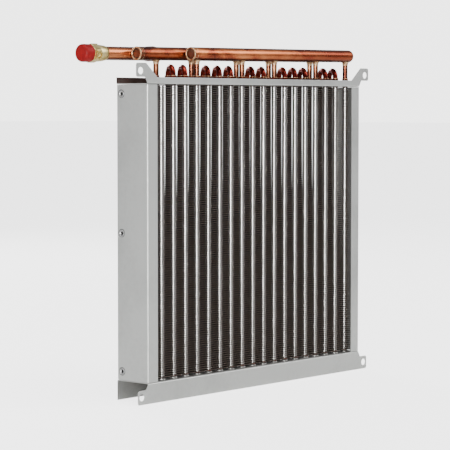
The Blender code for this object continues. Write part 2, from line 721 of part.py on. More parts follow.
def build_coil():
    clear_scene()
    coil = bpy.data.objects.new("coil", None)
    bpy.context.scene.collection.objects.link(coil)

    build_top_plate()
    build_bottom_plate()
    build_side_plate("left_side_plate", 0.0, 1)
    build_side_plate("right_side_plate", CASE_WIDTH, -1)
    build_fin_pack()

    for column in range(1, COLUMNS):
        build_hairpin(column)
    for column in range(2, COLUMNS):
        if column not in FRONT_STUBS:
            build_return_bend(column)
    for column in FRONT_STUBS:
        build_stub(f"front_stub_{column:02d}", front_x(column), FRONT_MARGIN)
    for column in REAR_STUBS:
        build_stub(f"rear_stub_{column:02d}", rear_x(column), REAR_ROW_Y)

    fittings = [build_union(), build_vent_screw()]
    turn_on_supply(fittings, BOSS_TURN)
    lean(fittings + [
        build_header("front_header", FRONT_HEADER_START, FRONT_HEADER_END, FRONT_MARGIN,
                     [front_x(k) for k in FRONT_STUBS], RETURN_X, RETURN_PORT_RADIUS),
        build_header("rear_header", REAR_HEADER_START, REAR_HEADER_END, REAR_ROW_Y,
                     [rear_x(k) for k in REAR_STUBS], SUPPLY_JOIN_X, SUPPLY_PORT_RADIUS),
        build_header_plug("front_header_plug", FRONT_HEADER_START, FRONT_MARGIN),
        build_header_plug("rear_header_plug", REAR_HEADER_START, REAR_ROW_Y),
        build_supply_pipe(),
        build_return_pipe(),
        build_protective_cap(),
    ])

    # The coil stands on its skirts, centred over its own outline
    left_end = CAP_X - CAP_LENGTH
    right_end = CASE_WIDTH + TOP_EAR_REACH
    back_end = FRONT_MARGIN + RETURN_REACH
    coil.location = (-(left_end + right_end) / 2, -back_end / 2, BASE_SKIRT)


build_coil()
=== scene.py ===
"""The looks of a finned heat exchanger coil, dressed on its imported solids."""
import math

import bpy
from mathutils import Matrix, Vector


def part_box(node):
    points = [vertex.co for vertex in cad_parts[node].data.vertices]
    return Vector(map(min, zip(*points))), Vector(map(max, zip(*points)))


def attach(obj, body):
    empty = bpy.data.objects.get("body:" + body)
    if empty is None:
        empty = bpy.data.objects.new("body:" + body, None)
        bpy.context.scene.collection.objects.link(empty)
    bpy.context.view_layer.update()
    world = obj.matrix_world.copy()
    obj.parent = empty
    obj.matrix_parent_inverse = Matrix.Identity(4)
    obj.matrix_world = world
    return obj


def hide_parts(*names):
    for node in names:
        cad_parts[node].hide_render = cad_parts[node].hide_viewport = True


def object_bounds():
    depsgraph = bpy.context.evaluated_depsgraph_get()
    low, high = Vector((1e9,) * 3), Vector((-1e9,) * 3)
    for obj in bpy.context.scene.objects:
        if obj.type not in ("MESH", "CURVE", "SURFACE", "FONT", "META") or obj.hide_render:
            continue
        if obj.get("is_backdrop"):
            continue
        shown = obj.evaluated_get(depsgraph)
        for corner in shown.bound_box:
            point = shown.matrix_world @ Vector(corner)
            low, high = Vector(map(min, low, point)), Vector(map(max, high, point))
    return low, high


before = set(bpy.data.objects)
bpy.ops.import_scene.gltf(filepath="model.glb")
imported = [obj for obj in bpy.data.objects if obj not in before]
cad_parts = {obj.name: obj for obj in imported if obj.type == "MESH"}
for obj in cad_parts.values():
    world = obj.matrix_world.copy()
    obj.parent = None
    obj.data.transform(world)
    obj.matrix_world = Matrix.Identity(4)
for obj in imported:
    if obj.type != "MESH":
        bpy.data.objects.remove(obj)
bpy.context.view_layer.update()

# Casing: four channels of galvanised sheet, cut and folded on a press.
# The two tube sheets carry the tubes, and the side plates close the ends between them.
MM = 0.001
EDGE_ROUND = 0.16 * MM
ZINC = (0.58, 0.59, 0.57)
ZINC_LIGHT = (0.71, 0.72, 0.695)


def new_finish(name, colour, roughness, metallic):
    """A material with its shader set, and what the sections below add nodes with."""
    material = bpy.data.materials.new(name)
    material.use_nodes = True
    tree = material.node_tree
    shader = tree.nodes["Principled BSDF"]
    shader.inputs["Base Color"].default_value = (*colour, 1)
    shader.inputs["Roughness"].default_value = roughness
    shader.inputs["Metallic"].default_value = metallic
    return material, tree, shader


def pattern(tree, kind, scale, stretch=(1, 1, 1), detail=3.0):
    """A noise or Voronoi texture on the piece's own coordinates, stretched along its grain."""
    place = tree.nodes.new("ShaderNodeTexCoord")
    mapping = tree.nodes.new("ShaderNodeMapping")
    mapping.inputs["Scale"].default_value = stretch
    texture = tree.nodes.new(kind)
    texture.inputs["Scale"].default_value = scale
    if "Detail" in texture.inputs:
        texture.inputs["Detail"].default_value = detail
    tree.links.new(place.outputs["Object"], mapping.inputs["Vector"])
    tree.links.new(mapping.outputs["Vector"], texture.inputs["Vector"])
    return texture


def ramp(tree, source, stops):
    """Colours along a value, as (position, colour)."""
    band = tree.nodes.new("ShaderNodeValToRGB")
    while len(band.color_ramp.elements) < len(stops):
        band.color_ramp.elements.new(0.5)
    for element, (position, colour) in zip(band.color_ramp.elements, stops):
        element.position = position
        element.color = (*colour, 1)
    tree.links.new(source, band.inputs["Fac"])
    return band.outputs["Color"]


def tint(tree, shader, texture, *stops):
    """A base colour that follows a texture."""
    tree.links.new(ramp(tree, texture.outputs["Fac"], stops), shader.inputs["Base Color"])


def own_place(tree):
    """The piece's own coordinates, split into X, Y and Z."""
    place = tree.nodes.new("ShaderNodeTexCoord")
    split = tree.nodes.new("ShaderNodeSeparateXYZ")
    tree.links.new(place.outputs["Object"], split.inputs["Vector"])
    return split.outputs


def spread(tree, source, low, high):
    """A texture's middle values drawn out between two numbers."""
    scale = tree.nodes.new("ShaderNodeMapRange")
    scale.inputs["From Min"].default_value = 0.3
    scale.inputs["From Max"].default_value = 0.7
    scale.inputs["To Min"].default_value = low
    scale.inputs["To Max"].default_value = high
    tree.links.new(source, scale.inputs["Value"])
    return scale.outputs["Result"]


def relief(tree, shader, source, strength, height):
    bump = tree.nodes.new("ShaderNodeBump")
    bump.inputs["Strength"].default_value = strength
    bump.inputs["Distance"].default_value = height
    tree.links.new(source, bump.inputs["Height"])
    tree.links.new(bump.outputs["Normal"], shader.inputs["Normal"])


def activate(piece):
    if bpy.context.object and bpy.context.object.mode != "OBJECT":
        bpy.ops.object.mode_set(mode="OBJECT")
    bpy.ops.object.select_all(action="DESELECT")
    piece.select_set(True)
    bpy.context.view_layer.objects.active = piece


def edit_all(piece):
    activate(piece)
    bpy.ops.object.mode_set(mode="EDIT")
    bpy.ops.mesh.select_all(action="SELECT")


def outwards():
    """Turn every face of the piece in hand outwards."""
    bpy.ops.mesh.select_all(action="SELECT")
    bpy.ops.mesh.normals_make_consistent(inside=False)


def draw_out(*move):
    """Extrude the picked edges along a vector."""
    bpy.ops.mesh.extrude_edges_move(TRANSFORM_OT_translate={"value": move})


def pick_faces(piece, wanted):
    """Leave a piece open for editing, with only the faces picked whose normal passes a test."""
    edit_all(piece)
    bpy.ops.mesh.select_all(action="DESELECT")
    bpy.ops.object.mode_set(mode="OBJECT")
    for face in piece.data.polygons:
        face.select = wanted(face.normal)
    bpy.ops.object.mode_set(mode="EDIT")


def repeat(piece, label, offset, count):
    """A row or stack of one piece at a fixed distance."""
    row = piece.modifiers.new(label, "ARRAY")
    row.use_relative_offset = False
    row.use_constant_offset = True
    row.constant_offset_displace = offset
    row.count = count


def apply_all(piece):
    activate(piece)
    for modifier in list(piece.modifiers):
        bpy.ops.object.modifier_apply(modifier=modifier.name)


def dress(piece, name, material, replaced=(), smooth=32):
    """Finish a piece: place in its mesh, shading, finish, body and the solids it stands for."""
    apply_all(piece)
    bpy.ops.object.transform_apply(location=True, rotation=True, scale=True)
    bpy.ops.object.shade_smooth_by_angle(angle=math.radians(smooth))
    piece.name = name
    piece.data.name = name
    piece.data.materials.clear()
    piece.data.materials.append(material)
    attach(piece, "root")
    for node in replaced:
        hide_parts(node)
    return piece


def sheet_piece(node, name):
    """A plate's solid copied and merged, its cut edges eased and its folds shaded round."""
    piece = bpy.data.objects.new(name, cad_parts[node].data.copy())
    bpy.context.scene.collection.objects.link(piece)
    edit_all(piece)
    bpy.ops.mesh.remove_doubles(threshold=1e-6)
    bpy.ops.mesh.dissolve_limited(angle_limit=math.radians(0.5))
    bpy.ops.object.mode_set(mode="OBJECT")
    ease = piece.modifiers.new("ease", "BEVEL")
    ease.width = EDGE_ROUND
    ease.segments = 2
    ease.limit_method = "ANGLE"
    ease.angle_limit = math.radians(50)
    ease.harden_normals = False
    normals = piece.modifiers.new("normals", "WEIGHTED_NORMAL")
    normals.keep_sharp = True
    piece.data.shade_smooth()
    return piece


def blend(tree, factor, first, second):
    """One colour laid over another by a factor."""
    mix = tree.nodes.new("ShaderNodeMix")
    mix.data_type = "RGBA"
    tree.links.new(factor, mix.inputs[0])
    for socket, colour in ((mix.inputs[6], first), (mix.inputs[7], second)):
        if isinstance(colour, tuple):
            socket.default_value = (*colour, 1)
        else:
            tree.links.new(colour, socket)
    return mix.outputs[2]


def between(tree, source, start, full):
    """0 at one value and 1 at another, eased between them."""
    edge = tree.nodes.new("ShaderNodeMapRange")
    edge.interpolation_type = "SMOOTHSTEP"
    edge.inputs["From Min"].default_value = start
    edge.inputs["From Max"].default_value = full
    tree.links.new(source, edge.inputs["Value"])
    return edge.outputs["Result"]


def times(tree, first, second):
    product = tree.nodes.new("ShaderNodeMath")
    product.operation = "MULTIPLY"
    tree.links.new(first, product.inputs[0])
    tree.links.new(second, product.inputs[1])
    return product.outputs["Value"]


def zinc_finish(name, shaded_lip_y=None):
    """Galvanised sheet: faint spangle, rolling grain, and painted shade in dark brown on the inner
    face of a lip.
    """
    material, tree, shader = new_finish(name, ZINC, 0.40, 0.72)
    spangle = pattern(tree, "ShaderNodeTexVoronoi", 130)
    cloud = pattern(tree, "ShaderNodeTexNoise", 9, detail=5)
    grain = pattern(tree, "ShaderNodeTexNoise", 420, (1, 1, 0.08))
    mix = tree.nodes.new("ShaderNodeMix")
    mix.inputs["Factor"].default_value = 0.12
    tree.links.new(cloud.outputs["Fac"], mix.inputs["A"])
    tree.links.new(spangle.outputs["Distance"], mix.inputs["B"])
    colour = ramp(tree, mix.outputs["Result"], ((0.30, ZINC), (0.62, ZINC_LIGHT)))
    # Painted shade: the inner face of the top plate's rear lip is coloured dark brown above a
    # ragged lower edge.
    if shaded_lip_y is not None:
        here = own_place(tree)
        ragged = tree.nodes.new("ShaderNodeMath")
        ragged.operation = "MULTIPLY_ADD"
        ragged.inputs[1].default_value = LIP_SHADE_RAGGED
        tree.links.new(cloud.outputs["Fac"], ragged.inputs[0])
        tree.links.new(here["Z"], ragged.inputs[2])
        lip_shade_mask = times(tree, between(tree, here["Y"], shaded_lip_y - 3 * MM, shaded_lip_y - 1.3 * MM),
                      between(tree, here["Y"], shaded_lip_y - 0.3 * MM, shaded_lip_y - 0.6 * MM))
        lip_shade_mask = times(tree, lip_shade_mask, between(tree, ragged.outputs["Value"], LIP_FOOT + 1.2 * MM,
                                           LIP_FOOT + 2.0 * MM))
        colour = blend(tree, lip_shade_mask, colour, LIP_SHADE_COLOUR)
    tree.links.new(colour, shader.inputs["Base Color"])
    tree.links.new(spread(tree, cloud.outputs["Fac"], 0.34, 0.46), shader.inputs["Roughness"])
    relief(tree, shader, grain.outputs["Fac"], 0.10, 0.05 * MM)
    return material


top_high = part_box("top_plate")[1]
LIP_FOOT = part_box("left_side_plate")[1].z
# Painted shade colour for the inner face of the top plate's rear lip.
LIP_SHADE_COLOUR = (0.085, 0.058, 0.050)
LIP_SHADE_RAGGED = 2.6 * MM
zinc = zinc_finish("galvanised_sheet")
lip_shaded_zinc = zinc_finish("lip_shaded_sheet", top_high.y)
for node, finish in (("top_plate", lip_shaded_zinc), ("bottom_plate", zinc), ("left_side_plate", zinc),
                     ("right_side_plate", zinc)):
    plate = sheet_piece(node, node + "_sheet")
    dress(plate, node + "_sheet", finish, [node], smooth=35)

# Rivet nuts: three flanged steel nuts pressed into dimples near each side plate's rear edge,
# with a round flange and a countersink; the bore and the gap round the flange are black painted
# shade.
FLANGE_RADIUS = 5.3 * MM
BORE_RADIUS = 3.3 * MM
SHADE_RING_RADIUS = 5.5 * MM
NUT_PLACES = (13.0 * MM, 209.6 * MM, 406.2 * MM)
NUT_INSET = 9.7 * MM
NUT_SIDES = 28
NUT_PROFILE = ((0.35, 1.0), (0.30, 0.93), (0.0, 0.80), (-0.55, 0.72), (-0.75, 0.80))
CASE_HEIGHT = 419.2 * MM
side_low, side_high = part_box("left_side_plate")
far_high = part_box("right_side_plate")[1]
steel, tree, shader = new_finish("plated_steel", (0.62, 0.62, 0.61), 0.30, 0.95)
rub = pattern(tree, "ShaderNodeTexNoise", 500, detail=4)
tint(tree, shader, rub, (0.35, (0.42, 0.42, 0.42)), (0.62, (0.72, 0.72, 0.71)))
shadow, tree, shader = new_finish("bore_shadow", (0.02, 0.02, 0.02), 0.7, 0.3)
rub = pattern(tree, "ShaderNodeTexNoise", 500, detail=3)
tint(tree, shader, rub, (0.35, (0.012, 0.012, 0.012)), (0.65, (0.035, 0.034, 0.033)))


def joined(pieces):
    activate(pieces[0])
    for piece in pieces:
        piece.select_set(True)
    bpy.ops.object.join()
    return pieces[0]


for side, face_x, out in (("left", side_low.x, -1), ("right", far_high.x, 1)):
    nuts, nut_shade_pieces = [], []
    for rise in NUT_PLACES:
        at = (face_x, side_high.y - NUT_INSET, LIP_FOOT - CASE_HEIGHT + rise)
        bpy.ops.mesh.primitive_circle_add(vertices=NUT_SIDES, radius=FLANGE_RADIUS, location=at,
                                          rotation=(0, math.pi / 2, 0))
        nut = bpy.context.object
        bpy.ops.object.transform_apply(location=True, rotation=True)
        edit_all(nut)
        for step, size in NUT_PROFILE:
            draw_out(out * step * MM, 0, 0)
            bpy.ops.transform.resize(value=(1, size, size))
        outwards()
        bpy.ops.object.mode_set(mode="OBJECT")
        nuts.append(nut)
        # Painted shade: a black disc with a shallow dimple stands for the dark inside of the bore.
        bpy.ops.mesh.primitive_circle_add(vertices=NUT_SIDES, radius=BORE_RADIUS, fill_type="NGON",
                                          location=(at[0] + out * 0.1 * MM, at[1], at[2]),
                                          rotation=(0, out * math.pi / 2, 0))
        bore_shade_disc = bpy.context.object
        bpy.ops.object.transform_apply(location=True, rotation=True)
        edit_all(bore_shade_disc)
        bpy.ops.mesh.inset(thickness=0.5 * MM, depth=-0.7 * MM)
        bpy.ops.object.mode_set(mode="OBJECT")
        nut_shade_pieces.append(bore_shade_disc)
        # Painted shade: a thin black ring stands for the dark gap round the flange.
        bpy.ops.mesh.primitive_torus_add(location=at, rotation=(0, math.pi / 2, 0),
                                         major_segments=32, minor_segments=8, major_radius=SHADE_RING_RADIUS,
                                         minor_radius=0.42 * MM)
        nut_shade_pieces.append(bpy.context.object)
    dress(joined(nuts), side + "_rivet_nuts", steel, smooth=50)
    dress(joined(nut_shade_pieces), side + "_nut_painted_shade", shadow, smooth=30)

# Fin pack: thin aluminium fins, waved from front to back and coloured nearly black as painted
# shade, pressed over the tubes. Their drawn collars keep the pitch and show as bright strips.
FIN_PITCH = 3.2 * MM
FIN_THICK = 0.30 * MM
FIN_WAVE = 0.16 * MM
FIN_WAVES = 4
COLLAR_RADIUS = 4.08 * MM
COLLAR_FLARE = 4.18 * MM
COLLAR_SIDES = 14
COLLAR_SHARE = 0.98
# Painted highlight: a lighter colour along the fins' front and back edges.
FIN_EDGE_HIGHLIGHT = (0.27, 0.215, 0.178)

fin_low, fin_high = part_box("fin_pack")
first_front = (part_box("front_stub_04")[0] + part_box("front_stub_04")[1]) / 2
last_front = (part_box("front_stub_18")[0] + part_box("front_stub_18")[1]) / 2
first_rear = (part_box("rear_stub_01")[0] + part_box("rear_stub_01")[1]) / 2
PITCH = (last_front.x - first_front.x) / 14
COLUMNS = 18


def front_x(column):
    return first_front.x + (column - 4) * PITCH


def rear_x(column):
    return first_rear.x + (column - 1) * PITCH


sheet_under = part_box("left_side_plate")[1].z
fin_count = int((sheet_under - fin_low.z) / FIN_PITCH) + 1
fin_depth = fin_high.y - fin_low.y
bpy.ops.mesh.primitive_plane_add(size=1, location=(0, 0, 0))
fins = bpy.context.object
fins.scale = (fin_high.x - fin_low.x, fin_depth, 1)
fins.location = ((fin_low.x + fin_high.x) / 2, (fin_low.y + fin_high.y) / 2, fin_low.z)
activate(fins)
bpy.ops.object.transform_apply(location=True, rotation=True, scale=True)
steps = 4 * FIN_WAVES
for step in range(1, steps):
    edit_all(fins)
    bpy.ops.mesh.bisect(plane_co=(0, fin_low.y + fin_depth * step / steps, 0), plane_no=(0, 1, 0))
    bpy.ops.object.mode_set(mode="OBJECT")
for vertex in fins.data.vertices:
    along = (vertex.co.y - fin_low.y) / fin_depth
    vertex.co.z += FIN_WAVE * math.sin(2 * math.pi * FIN_WAVES * along)
thick = fins.modifiers.new("thick", "SOLIDIFY")
thick.thickness = FIN_THICK
thick.offset = 0
repeat(fins, "stack", (0, 0, FIN_PITCH), fin_count)
# Painted shade: the fins' own colour is nearly black, standing in for the shade in the narrow gaps
# between them.
fin_finish, tree, shader = new_finish("fin_metal", (0.09, 0.075, 0.065), 0.4, 0.35)
fin_mottle = pattern(tree, "ShaderNodeTexNoise", 60, (1, 1, 3))
FIN_SHADE_TONES = ((0.30, (0.042, 0.029, 0.023)), (0.55, (0.075, 0.054, 0.044)),
             (0.78, (0.125, 0.096, 0.080)))
face = ramp(tree, fin_mottle.outputs["Fac"], FIN_SHADE_TONES)
here = own_place(tree)
# Painted highlight: the fins are lighter within a millimetre of their front and back edges.
front_edge_highlight = between(tree, here["Y"], fin_low.y + 0.8 * MM, fin_low.y + 0.1 * MM)
back_edge_highlight = between(tree, here["Y"], fin_high.y - 0.8 * MM, fin_high.y - 0.1 * MM)
tree.links.new(blend(tree, back_edge_highlight, blend(tree, front_edge_highlight, face, FIN_EDGE_HIGHLIGHT), FIN_EDGE_HIGHLIGHT),
               shader.inputs["Base Color"])
tree.links.new(spread(tree, fin_mottle.outputs["Fac"], 0.34, 0.48), shader.inputs["Roughness"])
dress(fins, "fins", fin_finish, ["fin_pack"], smooth=40)

collar_finish, tree, shader = new_finish("collar_metal", (0.92, 0.91, 0.89), 0.26, 0.95)
wipe = pattern(tree, "ShaderNodeTexNoise", 90, (1, 1, 0.4))
tint(tree, shader, wipe, (0.32, (0.60, 0.58, 0.55)), (0.66, (0.80, 0.78, 0.75)))

# The rear row's collars carry painted shade in front, nearly black, and are bright metal only
# behind, where the camera can't see them.
rear_collar_shade, tree, shader = new_finish("rear_collar_painted_shade", (0.07, 0.055, 0.047), 0.5, 0.4)
front_shade_noise = pattern(tree, "ShaderNodeTexNoise", 140, (1, 1, 0.5))
here = own_place(tree)
behind = between(tree, here["Y"], first_rear.y + 3.1 * MM, first_rear.y + 3.4 * MM)
front_shade_tones = ramp(tree, front_shade_noise.outputs["Fac"],
              ((0.32, (0.035, 0.026, 0.021)), (0.66, (0.085, 0.066, 0.055))))
tree.links.new(blend(tree, behind, front_shade_tones, (0.88, 0.87, 0.85)), shader.inputs["Base Color"])
tree.links.new(behind, shader.inputs["Metallic"])


def collar_row(name, x, y, count, finish):
    """One row of tubes' collars: a flared cup between each fin and the next."""
    bpy.ops.mesh.primitive_cone_add(vertices=COLLAR_SIDES, radius1=COLLAR_FLARE,
                                    radius2=COLLAR_RADIUS, depth=FIN_PITCH * COLLAR_SHARE,
                                    location=(x, y, fin_low.z + FIN_PITCH / 2))
    cup = bpy.context.object
    repeat(cup, "stack", (0, 0, FIN_PITCH), fin_count - 1)
    repeat(cup, "row", (PITCH, 0, 0), count)
    return dress(cup, name, finish, smooth=50)


collar_row("front_collars", front_x(1), first_front.y, COLUMNS, collar_finish)
collar_row("rear_collars", rear_x(1), first_rear.y, COLUMNS - 1, rear_collar_shade)

# Drawn holes of the tube sheets: the sheet is flared round each tube, and the bright lip
# of the flare stands up from the tray at the foot of each strip.
LIP_RADIUS = 5.4 * MM
LIP_RISE = 3.0 * MM
LIP_FLARE = 0.8 * MM
LIP_TAPER = 0.5 * MM
tray_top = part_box("bottom_plate")[1].z


def lip_row(name, x, y, count):
    """One row of lips round the tubes at the tray."""
    bpy.ops.mesh.primitive_cone_add(vertices=20, radius1=LIP_RADIUS + LIP_FLARE,
                                    radius2=LIP_RADIUS - LIP_TAPER, depth=LIP_RISE,
                                    location=(x, y, tray_top + LIP_RISE / 2))
    lip = bpy.context.object
    round_over = lip.modifiers.new("round", "BEVEL")
    round_over.width = 0.7 * MM
    round_over.segments = 3
    repeat(lip, "row", (PITCH, 0, 0), count)
    return dress(lip, name, collar_finish, smooth=50)


lip_row("tray_front_lips", front_x(1), first_front.y, COLUMNS)
lip_row("tray_rear_lips", rear_x(1), first_rear.y, COLUMNS - 1)

# Hairpin tubes: 17 copper tubes bent double. Each goes down through the rear row, turns
# below the tray and comes up in the front row, where its end is belled for the next piece.
TUBE_SIDES = 20
TUBE_RADIUS = (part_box("front_stub_04")[1].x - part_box("front_stub_04")[0].x) / 2
TUBE_WALL = 0.4 * MM
BELL_DEPTH = 8.0 * MM
BELL_OVER = 0.75 * MM
BEND_STEPS = 14
hairpin_low, hairpin_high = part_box("hairpin_tube_01")
bell_top = hairpin_high.z
U_RADIUS = PITCH / 2

COPPER_LIGHT = (0.86, 0.30, 0.105)
COPPER_RED = (0.27, 0.042, 0.016)
COPPER_DARK = (0.085, 0.020, 0.014)

HEADER_LEVEL = 493.68 * MM
HEADER_SLOPE = 0.0098
HEADER_RADIUS = 9.6 * MM


def copper_finish(name, stops, roughness, streak=(0.45, 1, 1), shades=()):
    """Copper with heat tint in long clouds, and shades laid along X or by height."""
    material, tree, shader = new_finish(name, COPPER_LIGHT, 0.3, 0.95)
    heat = pattern(tree, "ShaderNodeTexNoise", 38, streak, detail=6)
    heat.inputs["Distortion"].default_value = 1.1
    speck = pattern(tree, "ShaderNodeTexNoise", 380, detail=4)
    both = tree.nodes.new("ShaderNodeMix")
    both.inputs["Factor"].default_value = 0.18
    tree.links.new(heat.outputs["Fac"], both.inputs["A"])
    tree.links.new(speck.outputs["Fac"], both.inputs["B"])
    colour = ramp(tree, both.outputs["Result"], stops)
    place = tree.nodes.new("ShaderNodeTexCoord")
    for direction, start, full, most, shade in shades:
        along = tree.nodes.new("ShaderNodeVectorMath")
        along.operation = "DOT_PRODUCT"
        along.inputs[1].default_value = direction
        tree.links.new(place.outputs["Object"], along.inputs[0])
        factor = between(tree, along.outputs["Value"], start, full)
        factor.node.inputs["To Max"].default_value = most
        colour = blend(tree, factor, colour, shade)
    tree.links.new(colour, shader.inputs["Base Color"])
    tree.links.new(spread(tree, heat.outputs["Fac"], *roughness), shader.inputs["Roughness"])
    relief(tree, shader, speck.outputs["Fac"], 0.15, 0.06 * MM)
    return material


RISING = (-HEADER_SLOPE, 0, 1)
LENGTHWISE = (1, 0, 0)
# Copper darkened by height along the top and underside of each pipe: partly darker oxide, partly
# painted shade and painted reflection.
PIPE_EDGE_SHADE = ((RISING, HEADER_LEVEL + 0.70 * HEADER_RADIUS,
               HEADER_LEVEL + 0.93 * HEADER_RADIUS, 0.85, COPPER_DARK),
              (RISING, HEADER_LEVEL - 0.45 * HEADER_RADIUS,
               HEADER_LEVEL - 0.88 * HEADER_RADIUS, 0.90, COPPER_DARK))
tinted = copper_finish("heated_copper",
                       ((0.35, (0.17, 0.030, 0.013)), (0.43, (0.44, 0.095, 0.033)),
                        (0.53, (0.70, 0.21, 0.070)), (0.64, COPPER_LIGHT)), (0.22, 0.38),
                       shades=((LENGTHWISE, -0.02, 0.20, 0.80, COPPER_RED), *PIPE_EDGE_SHADE))
redder = copper_finish("reddened_copper",
                       ((0.35, (0.10, 0.018, 0.009)), (0.46, (0.26, 0.046, 0.018)),
                        (0.58, (0.46, 0.115, 0.040)), (0.68, (0.70, 0.24, 0.090))),
                       (0.22, 0.38), shades=PIPE_EDGE_SHADE)
deep = copper_finish("brazed_copper", ((0.36, (0.07, 0.010, 0.007)), (0.52, (0.24, 0.028, 0.018)),
                                       (0.68, (0.50, 0.085, 0.045))), (0.14, 0.30))
# The stubs are darker towards their feet and redder towards the header.
STUB_SHADES = ((RISING, HEADER_LEVEL - 20 * MM, HEADER_LEVEL - 29 * MM, 0.75, COPPER_DARK),
               (RISING, HEADER_LEVEL - 16 * MM, HEADER_LEVEL - 11 * MM, 0.55, COPPER_RED))
foot_darkened = copper_finish("foot_darkened_copper",
                      ((0.38, (0.12, 0.030, 0.016)), (0.50, (0.32, 0.105, 0.050)),
                       (0.64, (0.58, 0.26, 0.12))), (0.20, 0.36), shades=STUB_SHADES)


def bent_tube(foot, far, top, bend, up):
    """A U of open tube: a ring drawn straight to the bend, spun round it and drawn back."""
    bpy.ops.mesh.primitive_circle_add(vertices=TUBE_SIDES, radius=TUBE_RADIUS,
                                      location=(*foot, top))
    tube = bpy.context.object
    bpy.ops.object.transform_apply(location=True)
    edit_all(tube)
    draw_out(0, 0, bend - top)
    along = (Vector(far) - Vector(foot)).normalized()
    middle = (Vector(foot) + Vector(far)) / 2
    bpy.ops.mesh.spin(steps=BEND_STEPS, angle=up * math.pi, center=(*middle, bend),
                      axis=(-along.y, along.x, 0))
    draw_out(0, 0, top - bend)
    edit_all(tube)
    bpy.ops.mesh.remove_doubles(threshold=1e-7)
    bpy.ops.mesh.normals_make_consistent(inside=False)
    bpy.ops.object.mode_set(mode="OBJECT")
    return tube


def tube_wall(piece, wall=TUBE_WALL):
    skin = piece.modifiers.new("wall", "SOLIDIFY")
    skin.thickness = wall
    skin.offset = -1


def bell(tube, foot, top):
    """Open one leg's end to take the next tube: a step, a straight socket and a turned lip."""
    edit_all(tube)
    for drop in (BELL_DEPTH + 1.5 * MM, BELL_DEPTH, 0.8 * MM):
        bpy.ops.mesh.select_all(action="SELECT")
        bpy.ops.mesh.bisect(plane_co=(0, 0, top - drop), plane_no=(0, 0, 1))
    bpy.ops.object.mode_set(mode="OBJECT")
    for vertex in tube.data.vertices:
        out = Vector((vertex.co.x - foot[0], vertex.co.y - foot[1], 0))
        if out.length < TUBE_RADIUS * 1.5 and vertex.co.z > top - BELL_DEPTH - 0.1 * MM:
            grow = BELL_OVER + (0.35 * MM if vertex.co.z > top - 0.1 * MM else 0)
            vertex.co += out.normalized() * grow


tray_bend = hairpin_low.z + U_RADIUS + TUBE_RADIUS
for column in range(1, COLUMNS):
    foot = (rear_x(column), first_rear.y)
    far = (front_x(column + 1), first_front.y)
    hairpin = bent_tube(foot, far, bell_top, tray_bend, 1)
    bell(hairpin, foot, bell_top)
    bell(hairpin, far, bell_top)
    tube_wall(hairpin)
    node = f"hairpin_tube_{column:02d}"
    dress(hairpin, f"hairpin_{column:02d}", deep, [node], smooth=40)

# Return bends: twelve short copper U-bends brazed into the bells of a front and a rear tube,
# reddened by the torch.
bend_low, bend_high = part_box("return_bend_02")
bend_base = bend_high.z - U_RADIUS - TUBE_RADIUS
BENDS = [int(name[-2:]) for name in sorted(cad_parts) if name.startswith("return_bend_")]
for column in BENDS:
    foot = (front_x(column), first_front.y)
    far = (rear_x(column), first_rear.y)
    turn = bent_tube(foot, far, bend_low.z, bend_base, -1)
    tube_wall(turn)
    node = f"return_bend_{column:02d}"
    dress(turn, f"bend_{column:02d}", deep, [node], smooth=40)

# Braze: a thin bright ring of filler where each tube goes into a bell, and a wider run-out
# where each stub goes into its header.
filler, tree, shader = new_finish("braze_filler", (0.62, 0.42, 0.24), 0.34, 0.95)
bead = pattern(tree, "ShaderNodeTexNoise", 260, detail=4)
tint(tree, shader, bead, (0.34, (0.42, 0.20, 0.10)), (0.62, (0.86, 0.60, 0.34)))
relief(tree, shader, bead.outputs["Fac"], 0.3, 0.1 * MM)

STUBS = sorted(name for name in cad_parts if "_stub_" in name)
feet = [(front_x(k), first_front.y) for k in BENDS] + [(rear_x(k), first_rear.y) for k in BENDS]
for name in STUBS:
    low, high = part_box(name)
    feet.append(((low.x + high.x) / 2, (low.y + high.y) / 2))

rings = []
for x, y in feet:
    bpy.ops.mesh.primitive_torus_add(location=(x, y, bell_top + 0.1 * MM), major_segments=20,
                                     minor_segments=8, major_radius=TUBE_RADIUS + 0.45 * MM,
                                     minor_radius=0.55 * MM)
    rings.append(bpy.context.object)
dress(joined(rings), "bell_braze", filler, smooth=60)

# Header stubs: ten straight tubes, five from each row, that feed the two headers above.
# The headers rise a little to the right, and the braze has run down each stub in a collar.


def lean(piece):
    """The pipework rises to the right as the headers do."""
    for vertex in piece.data.vertices:
        vertex.co.z += HEADER_SLOPE * vertex.co.x


STUB_STEPS = 8
FILLET_DROP = 5.2 * MM
FILLET_PROFILE = ((1.6, 1.05), (1.4, 1.05), (1.2, 1.10), (1.0, 1.16), (0.9, 1.12))
fillets = []
for name in STUBS:
    low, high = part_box(name)
    x, y = (low.x + high.x) / 2, (low.y + high.y) / 2
    bpy.ops.mesh.primitive_circle_add(vertices=24, radius=TUBE_RADIUS, location=(x, y, low.z))
    stub = bpy.context.object
    bpy.ops.object.transform_apply(location=True)
    edit_all(stub)
    for step in range(STUB_STEPS):
        draw_out(0, 0, (high.z - low.z) / STUB_STEPS)
    outwards()
    tube_wall(stub)
    dress(stub, name + "_tube", foot_darkened, [name], smooth=40)
    under = HEADER_LEVEL - HEADER_RADIUS + HEADER_SLOPE * x
    bpy.ops.mesh.primitive_circle_add(vertices=24, radius=TUBE_RADIUS + 0.06 * MM,
                                      location=(x, y, under - FILLET_DROP))
    fillet = bpy.context.object
    bpy.ops.object.transform_apply(location=True)
    edit_all(fillet)
    for rise, grow in FILLET_PROFILE:
        draw_out(0, 0, rise * MM)
        bpy.ops.transform.resize(value=(grow, grow, 1))
    outwards()
    bpy.ops.object.mode_set(mode="OBJECT")
    fillets.append(fillet)
dress(joined(fillets), "header_braze", filler, smooth=60)

